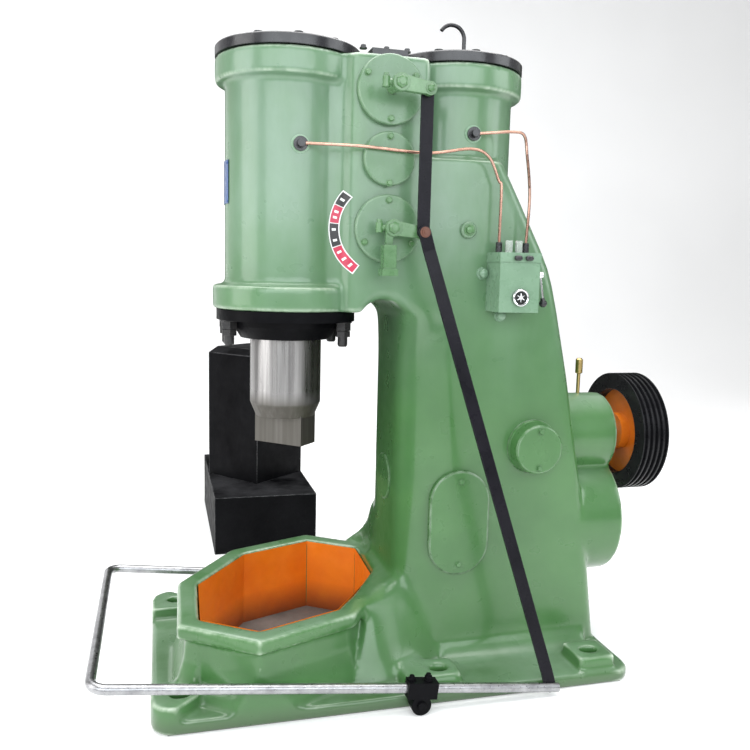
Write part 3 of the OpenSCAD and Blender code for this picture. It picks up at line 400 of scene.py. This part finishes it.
# Valve covers on the chest: three turned iron discs in the frame's green.
# Painted hexagon bolts round the edge of each hold them.
dress(cover_green, "upper_valve_cover", "middle_valve_cover", "lower_valve_cover")
valve_x, upper_z, middle_z, lower_z, valve_face = -0.041, 1.992, 1.773, 1.554, -0.254
bm = bmesh.new()
for z, ring, start, count in ((upper_z, 0.091, 30, 3), (lower_z, 0.091, 90, 3), (middle_z, 0.073, 90, 2)):
    for k in range(count):
        angle = math.radians(start + 360 / count * k)
        hexbolt(bm, (valve_x + ring * math.cos(angle), valve_face, z + ring * math.sin(angle)), near_side, 0.009, 0.011)
piece("valve_cover_bolts", bm, bolt_green, "frame")

# Valve levers: iron castings in green enamel, keyed to the valve spindles.
# Each has a washer, a nut and a clamp bolt at its hub, and a pin for the links at its end.
lever_green = finish("green enamel on levers", green_dark, (0.115, 0.235, 0.105), rough=(0.2, 0.36), bump=0.1,
                     grain=0.15, patch=9.0, coat=0.5, edge=0.004)
red_oxide = finish("red oxide primer", (0.10, 0.035, 0.022), (0.19, 0.075, 0.045), rough=(0.4, 0.6), bump=0.1,
                   grain=0.3, patch=20.0, coat=0.0, edge=0.001)
dress(lever_green, "upper_valve_lever", "lower_valve_lever")
clamp_x, eye_x = -0.085, 0.0533
upper_eye_z, lower_eye_z = 1.9804, 1.5424
for name, body, y, z in (("upper_hub_nut", "upper_lever", -0.364, upper_z),
                         ("lower_hub_nut", "lower_lever", -0.322, lower_z)):
    bm = bmesh.new()
    rod(bm, (valve_x, y + 0.001, z), (valve_x, y - 0.003, z), 0.0275, 0.0265, seg=32)
    rod(bm, (valve_x, y - 0.003, z), (valve_x, y - 0.010, z), 0.019, seg=6)
    rod(bm, (valve_x, y - 0.010, z), (valve_x, y - 0.012, z), 0.019, 0.0155, seg=6)
    rod(bm, (clamp_x, y + 0.018, z - 0.016), (clamp_x, y + 0.018, z + 0.016), 0.012, seg=16)
    rod(bm, (clamp_x, y + 0.018, z + 0.016), (clamp_x, y + 0.018, z + 0.026), 0.009, seg=6)
    rod(bm, (clamp_x, y + 0.018, z), (-0.060, y + 0.018, z), 0.010, seg=16)
    piece(name, bm, lever_green, body)
bm = bmesh.new()
hexbolt(bm, (eye_x, -0.364, upper_eye_z), near_side, 0.012, 0.010)
piece("upper_lever_pin_head", bm, lever_green, "upper_lever")
bm = bmesh.new()
for start, stop, radius, sides in ((-0.3535, -0.3560, 0.017, 28), (-0.3560, -0.3640, 0.0125, 6),
                                   (-0.3640, -0.3680, 0.007, 16)):
    rod(bm, (eye_x, start, lower_eye_z), (eye_x, stop, lower_eye_z), radius, seg=sides)
piece("link_pin_nut", bm, red_oxide, "lower_lever")

# Links: flat steel bars in black enamel, from lever to lever and down to the treadle.
# The lever pins carry them, and their edges are paler, partly from wear and partly as painted highlights.
link_black = finish("black enamel on links", (0.005, 0.005, 0.007), (0.011, 0.010, 0.014), rough=(0.24, 0.36),
                    bump=0.05, grain=0.08, patch=7.0, coat=0.03, shine=0.10, edge=0.003, edge_wear_and_highlight=(0.05, 0.045, 0.06))
dress(link_black, "short_link", "long_link")

# Treadle: bright round steel bar, bent round the base.
# Black clamps with two nuts each hold it, and rock on pins in the base.
bar_steel = finish("bright bar", (0.27, 0.27, 0.28), (0.48, 0.48, 0.49), rough=(0.25, 0.4), bump=0.03, grain=0.06,
                   patch=24.0, coat=0.0, metal=1.0, edge=0.002)
dress(bar_steel, "treadle_bar")
dress(dull_black, "treadle_clamps", "treadle_pins")
clamp_y = 0.491
bm = bmesh.new()
for side in (-1, 1):
    for x in (0.010, 0.066):
        for bottom, top, radius, sides in ((0.107, 0.112, 0.016, 24), (0.112, 0.123, 0.0125, 6),
                                           (0.123, 0.130, 0.008, 16)):
            rod(bm, (x, side * clamp_y, bottom), (x, side * clamp_y, top), radius, seg=sides)
piece("clamp_nuts", bm, dull_black, "treadle")

# Drive: grooved pulley, an iron casting with black rim and orange web, on a bright steel shaft.
# A brass oil cup stands on the shaft housing.
rim_black = finish("black pulley", (0.006, 0.006, 0.007), (0.013, 0.013, 0.015), rough=(0.22, 0.36), bump=0.05,
                   grain=0.1, patch=6.0, coat=0.05, shine=0.18)
web_orange = finish("orange enamel on pulley web", (0.62, 0.135, 0.006), (0.80, 0.22, 0.012), rough=(0.3, 0.5),
                    bump=0.15, grain=0.15, patch=6.0, coat=0.2)
oiler_brass = finish("oiler brass", (0.45, 0.33, 0.12), (0.6, 0.46, 0.2), rough=(0.25, 0.4), metal=1.0, coat=0.0,
                     edge=0.001)
dress(rim_black, "pulley_rim")
dress(web_orange, "pulley_web")
dress(bar_steel, "pulley_shaft")
dress(oiler_brass, "shaft_oiler")

# Lubricator: painted sheet-iron oil box with a lid, two glass sight tubes and a round sight glass in a chromed ring.
# Two black screws close the lid, round-headed bolts hold the box, and a chromed hand crank with a black ball turns it.
box_green = finish("green enamel on oil box", (0.145, 0.255, 0.160), (0.185, 0.305, 0.200), rough=(0.22, 0.36),
                   bump=0.06, grain=0.12, patch=7.0, coat=0.45, edge=0.003)
chrome = finish("chrome", (0.72, 0.73, 0.74), (0.84, 0.85, 0.86), rough=(0.08, 0.18), bump=0.02, grain=0.04,
                patch=20.0, coat=0.0, metal=1.0, edge=0.001)
dark_glass = finish("dark sight glass", (0.01, 0.012, 0.012), (0.03, 0.034, 0.034), rough=(0.05, 0.12), bump=0.02,
                    grain=0.02, patch=20.0, coat=0.6, edge=0.001)
tube_glass = bpy.data.materials.new("sight glass")
tube_glass.use_nodes = True
tree, add, join, span, times, over = nodes_of(tube_glass)
clear = tree.nodes["Principled BSDF"]
clear.inputs["Transmission Weight"].default_value = 0.75
clear.inputs["Base Color"].default_value = (0.9, 0.93, 0.9, 1)
smear = add("ShaderNodeTexNoise", Scale=90.0, Detail=3.0)
join(span(smear, "Fac", 0.35, 0.65, 0.03, 0.16), 0, clear, "Roughness")
dress(box_green, "lubricator_box", "lubricator_lid")
dress(tube_glass, "sight_tubes")
dress(dark_glass, "lubricator_glass")
dress(chrome, "lubricator_lever")
low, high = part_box("lubricator_glass")
glass_x, glass_y, glass_z = (low[0] + high[0]) / 2, low[1], (low[2] + high[2]) / 2
ring_profile = ((0.0285, 0.004), (0.0285, -0.003), (0.026, -0.005), (0.0225, -0.003), (0.0215, 0.0005))
around = 40
bm = bmesh.new()
loops = [[bm.verts.new((glass_x + r * math.cos(2 * math.pi * k / around), glass_y + y,
                        glass_z + r * math.sin(2 * math.pi * k / around))) for k in range(around)]
         for r, y in ring_profile]
for a, b in zip(loops, loops[1:]):
    for k in range(around):
        bm.faces.new((a[k], a[k - 1], b[k - 1], b[k]))
spoke_y, spoke = glass_y - 0.0012, 0.015
for k in range(6):
    angle = math.radians(60 * k + 30)
    tip = (glass_x + spoke * math.cos(angle), spoke_y, glass_z + spoke * math.sin(angle))
    rod(bm, (glass_x, spoke_y, glass_z), tip, 0.0032, 0.001, seg=8)
rod(bm, (glass_x, glass_y + 0.001, glass_z), (glass_x, glass_y - 0.003, glass_z), 0.006, seg=16)
piece("sight_glass_ring", bm, chrome, "frame")
low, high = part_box("lubricator_lid")
wing_y, wing_z, wing, knob = low[1] - 0.010, 1.470, 0.006, 0.0085
bm = bmesh.new()
for x in (0.379, 0.419):
    rod(bm, (x, low[1] + 0.004, wing_z), (x, wing_y, wing_z), knob, seg=20)
    rod(bm, (x - wing, wing_y, wing_z), (x + wing, wing_y, wing_z), knob, seg=16)
    for end in (-wing, wing):
        bmesh.ops.create_uvsphere(bm, u_segments=16, v_segments=10, radius=knob,
                                  matrix=Matrix.Translation((x + end, wing_y, wing_z)))
piece("lid_wing_screws", bm, black_enamel, "frame")
bolt_seat, bolt_neck, bolt_top, bolt_head = -0.226, -0.236, -0.246, 0.0155
bm = bmesh.new()
for x, z in ((0.303, 1.417), (0.375, 1.274)):
    rod(bm, (x, bolt_seat, z), (x, bolt_neck, z), 0.022, 0.020, seg=28)
    rod(bm, (x, bolt_neck, z), (x, bolt_top, z), bolt_head, seg=24)
    bmesh.ops.create_uvsphere(bm, u_segments=24, v_segments=12, radius=bolt_head,
                              matrix=Matrix.Translation((x, bolt_top, z)) @ Matrix.Diagonal((1, 0.6, 1, 1)))
piece("oil_box_bolts", bm, box_green, "frame")
low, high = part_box("lubricator_lever")
ball = (high[0] - 0.013, -0.284, low[2] + 0.013)
bm = bmesh.new()
bmesh.ops.create_uvsphere(bm, u_segments=32, v_segments=20, radius=0.0138, matrix=Matrix.Translation(ball))
rod(bm, (ball[0] - 0.0022, ball[1], ball[2] + 0.0125), (ball[0] - 0.0034, ball[1], ball[2] + 0.0190), 0.0085, 0.0070,
    seg=20)
piece("crank_ball", bm, black_enamel, "lubricator_crank")

# Oil pipes: drawn copper tube from the lubricator to the cylinders, bent by hand.
# They end in black fittings, on washers with a thin coat of green.
pipe_copper = finish("copper pipe", (0.30, 0.165, 0.12), (0.48, 0.30, 0.235), rough=(0.2, 0.35), metal=1.0, coat=0.0,
                     edge=0.001, bump=0.0, grain=0.05, patch=9.0)
pale_green = finish("thin green on washers", (0.16, 0.30, 0.17), (0.26, 0.40, 0.27), rough=(0.25, 0.4), bump=0.08,
                    grain=0.15, patch=14.0, coat=0.3, edge=0.001)
dress(pipe_copper, "front_oil_pipe", "rear_oil_pipe")
dress(black_enamel, "oil_fittings")
bm = bmesh.new()
for x, wall, z in ((-0.326, -0.211, 1.811), (pump_x, -0.204, 1.880)):
    rod(bm, (x, wall + 0.006, z), (x, wall - 0.003, z), 0.031, 0.029, seg=36)
piece("fitting_washers", bm, pale_green, "frame")

# Breather on the pump cover: steel tube, bent and painted black.
# Plug on the column's side: green boss, closed by a hexagon plug.
dress(black_enamel, "breather")
dress(cover_green, "plug_boss")
low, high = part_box("plug_boss")
bm = bmesh.new()
hexbolt(bm, ((low[0] + high[0]) / 2, low[1], (low[2] + high[2]) / 2), near_side, 0.015, 0.012)
piece("plug_hexagon", bm, bolt_green, "frame")

# Lever scale: printed strip beside the lower valve cover, with red and black fields and plain white marks.
# It is glued on and follows the skin of the casting.
skin_shape = casting.evaluated_get(bpy.context.evaluated_depsgraph_get())


def strip(bm, start, stop, inner, outer, proud):
    # Part of a ring round the lower valve, laid on the casting and standing proud of it.
    across, along = 5, max(2, int(abs(stop - start) / 2.5))
    grid = []
    for i in range(along + 1):
        angle = math.radians(start + (stop - start) * i / along)
        row = []
        for j in range(across + 1):
            r = inner + (outer - inner) * j / across
            x, z = valve_x + r * math.cos(angle), lower_z + r * math.sin(angle)
            hit, at, out, face = skin_shape.ray_cast((x, -0.5, z), (0, 1, 0))
            row.append(bm.verts.new(at + out * proud))
        grid.append(row)
    for i in range(along):
        for j in range(across):
            bm.faces.new((grid[i][j], grid[i][j + 1], grid[i + 1][j + 1], grid[i + 1][j]))


def print_ink(name, dark, light):
    return finish(name, dark, light, rough=(0.3, 0.45), bump=0.02, grain=0.05, patch=20.0, coat=0.2, edge=0.001)


scale_white = print_ink("white print", (0.70, 0.71, 0.69), (0.80, 0.80, 0.79))
scale_red = print_ink("red print", (0.40, 0.016, 0.05), (0.54, 0.03, 0.08))
scale_black = print_ink("black print", (0.010, 0.010, 0.011), (0.022, 0.022, 0.023))
strip_proud, field_proud, mark_proud, half_mark = 0.0012, 0.0022, 0.0032, 1.3
bm = bmesh.new()
strip(bm, 139, 234, 0.149, 0.185, strip_proud)
piece("scale_strip", bm, scale_white, "frame")
for name, mat, fields in (("scale_black_fields", scale_black, ((140.5, 154.5), (175.5, 200.5))),
                          ("scale_red_fields", scale_red, ((155.5, 174.5), (201.5, 232.5)))):
    bm = bmesh.new()
    for start, stop in fields:
        strip(bm, start, stop, 0.1525, 0.1815, field_proud)
    piece(name, bm, mat, "frame")
bm = bmesh.new()
for middle in (147.5, 162, 168.5, 182, 194, 208, 217, 226):
    strip(bm, middle - half_mark, middle + half_mark, 0.160, 0.174, mark_proud)
piece("scale_marks", bm, scale_white, "frame")

# Plate on the front of the ram cylinder: bare sheet steel in blue enamel.
# It is bent to the barrel and held by four rivets.
plate_blue = finish("blue enamel", (0.012, 0.055, 0.19), (0.020, 0.085, 0.26), rough=(0.25, 0.4), bump=0.03,
                    grain=0.08, patch=9.0, coat=0.3, edge=0.001)
rivet_foot, rivet_top = 0.2125, 0.2160
bm = bmesh.new()
bends = [math.radians(164 + 2 * k) for k in range(17)]
rows = [[bm.verts.new((ram_x + r * math.cos(a), r * math.sin(a), z)) for a in bends]
        for r, z in ((0.2095, 1.627), (0.2135, 1.628), (0.2135, 1.769), (0.2095, 1.770))]
for low, high in zip(rows, rows[1:]):
    for k in range(len(bends) - 1):
        bm.faces.new((low[k], high[k], high[k + 1], low[k + 1]))
for a in (math.radians(167), math.radians(193)):
    for z in (1.637, 1.760):
        rod(bm, (ram_x + rivet_foot * math.cos(a), rivet_foot * math.sin(a), z),
            (ram_x + rivet_top * math.cos(a), rivet_top * math.sin(a), z), 0.005, 0.003, seg=12)
piece("front_plate", bm, plate_blue, "frame")

# Anvil: post on a foot, two rough iron blocks in black paint, standing apart.
# Dusty on top and worn bare along the edges.
anvil_iron = finish("black iron", (0.0015, 0.0015, 0.002), (0.006, 0.006, 0.007), rough=(0.45, 0.65), bump=0.25,
                    grain=0.3, patch=4.0, coat=0.0, edge=0.008, shine=0.06, dust_and_top_light=(0.026, 0.026, 0.028),
                    edge_wear_and_highlight=(0.17, 0.17, 0.175))
dress(anvil_iron, "anvil_foot_block", "anvil_post_block")

# Studio: a pale sweep of floor and back wall, with a weak even light all round.
# Wide softboxes stand in front and overhead, and smaller ones at the left and the right.


def set_stage(name, bm, *mats):
    # A mesh that belongs to the studio, not to the machine.
    mesh = bpy.data.meshes.new(name)
    bm.to_mesh(mesh)
    bm.free()
    for mat in mats:
        mesh.materials.append(mat)
    obj = bpy.data.objects.new(name, mesh)
    bpy.context.scene.collection.objects.link(obj)
    return obj


def softbox(name, place, aim, width, height, power, tone=(1, 1, 1)):
    data = bpy.data.lights.new(name, "AREA")
    data.shape = "RECTANGLE"
    data.size = width
    data.size_y = height
    data.energy = power
    data.color = tone
    obj = bpy.data.objects.new(name, data)
    obj.location = place
    obj.rotation_mode = "QUATERNION"
    obj.rotation_quaternion = (Vector(aim) - Vector(place)).to_track_quat("-Z", "Y")
    bpy.context.scene.collection.objects.link(obj)


sweep_white = finish("pale sweep", (0.80, 0.80, 0.80), (0.84, 0.84, 0.84), rough=(0.7, 0.85), bump=0.0, grain=0.03,
                     patch=1.0, coat=0.0)
shade = sweep_white.node_tree.nodes["Principled BSDF"]
shade.inputs["Emission Color"].default_value = (1, 1, 1, 1)
shade.inputs["Emission Strength"].default_value = 0.22
sweep_front, sweep_bend, sweep_radius, sweep_top, sweep_half = -14.0, 5.0, 3, 14.0, 16
profile = [(sweep_front, 0.0), (sweep_bend, 0.0)]
profile += [(sweep_bend + sweep_radius * math.sin(math.radians(a)),
             sweep_radius - sweep_radius * math.cos(math.radians(a))) for a in range(6, 91, 6)]
profile += [(sweep_bend + sweep_radius, sweep_top)]
bm = bmesh.new()
edges = [[bm.verts.new((x, y, z - 0.001)) for y, z in profile] for x in (-sweep_half, sweep_half)]
for k in range(len(profile) - 1):
    bm.faces.new((edges[0][k], edges[1][k], edges[1][k + 1], edges[0][k + 1])).smooth = True
set_stage("sweep", bm, sweep_white)
world = bpy.data.worlds.new("studio")
bpy.context.scene.world = world
world.use_nodes = True
world.node_tree.nodes["Background"].inputs["Color"].default_value = (1, 1, 1, 1)
world.node_tree.nodes["Background"].inputs["Strength"].default_value = 0.35
softbox("front softbox", (-1.0, -5.2, 3.2), (-0.2, 0, 1.5), 9.0, 3.0, 320, (0.91, 0.96, 1.0))
softbox("left softbox", (-5.0, -0.8, 2.3), (-0.3, 0, 1.5), 3.0, 4.0, 115)
softbox("right softbox", (5.0, -2.2, 3.1), (0.3, 0, 1.7), 3.0, 2.6, 80, (0.93, 0.97, 1.0))
softbox("overhead softbox", (0.0, 0.5, 6.0), (0, 0.5, 0), 6.0, 6.0, 520)

# Cards of cloth and board that show in reflections only.
# The black ones, behind the machine and in the throat, give bright metal its dark side.
# The green one, low in the throat, keeps the well's orange out of the column's gloss.
flag_black = finish("flag cloth", (0.026, 0.032, 0.022), (0.034, 0.042, 0.028), rough=(0.8, 0.9), bump=0.0, grain=0.02,
                    coat=0.0, shine=0.1)
card_green = finish("green card", (0.50, 0.66, 0.28), (0.55, 0.72, 0.31), rough=(0.8, 0.9), bump=0.0, grain=0.02,
                    coat=0.0, shine=0.1)
throat_x, card_top = -0.005, 0.62
back_flag = ((-1.3, 3.0, 0.02), (8.0, 3.0, 0.02), (8.0, 3.0, 3.4), (-1.3, 3.0, 3.4))
throat_flag = ((throat_x, -0.38, card_top), (throat_x, 0.22, card_top), (throat_x, 0.22, 1.25), (throat_x, -0.38, 1.25))
low_card = ((throat_x, -0.25, 0.30), (throat_x, 0.25, 0.30), (throat_x, 0.22, card_top), (throat_x, -0.38, card_top))
bm = bmesh.new()
for corners, slot in ((back_flag, 0), (throat_flag, 0), (low_card, 1)):
    bm.faces.new([bm.verts.new(corner) for corner in corners]).material_index = slot
flags = set_stage("flags", bm, flag_black, card_green)
flags.visible_camera = flags.visible_diffuse = flags.visible_shadow = flags.visible_transmission = False

# Ground under the base: grey concrete, part of the stage, much darker than the sweep as painted shade under the
# machine.
# It shows through the anvil well and the foundation slots.
concrete_in_shade = finish("grey concrete in painted shade", (0.10, 0.095, 0.085), (0.20, 0.19, 0.175), rough=(0.7, 0.9), bump=0.1, grain=0.3,
                  patch=6.0, coat=0.0, shine=0.2)
low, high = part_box("base_casting")
left, right_end, near, far = low[0] + 0.05, high[0] - 0.05, low[1] + 0.03, high[1] - 0.03
ground_corners = ((left, near), (right_end, near), (right_end, far), (left, far))
bm = bmesh.new()
bm.faces.new([bm.verts.new((x, y, 0.0008)) for x, y in ground_corners])
set_stage("base_ground", bm, concrete_in_shade)

# Camera: at eye height, three metres from the ram's side and a little to the left of it.
# Lens, turn, dip and roll were fitted to the outlines of the machine.
view = bpy.data.cameras.new("camera")
view.sensor_width = 36
view.lens = 38.43
turn, dip, roll = (math.radians(x) for x in (-15.13, 7.47, 1.39))
right = Vector((math.cos(turn), math.sin(turn), 0))
look = Vector((-math.sin(turn) * math.cos(dip), math.cos(turn) * math.cos(dip), -math.sin(dip)))
up = right.cross(look)
side = right * math.cos(roll) + up * math.sin(roll)
top = up * math.cos(roll) - right * math.sin(roll)
camera = bpy.data.objects.new("camera", view)
camera.matrix_world = Matrix((side, top, -look)).transposed().to_4x4()
camera.location = (-0.7619, -2.7991, 1.4198)
bpy.context.scene.collection.objects.link(camera)
bpy.context.scene.camera = camera
bpy.context.scene.view_settings.view_transform = "Standard"
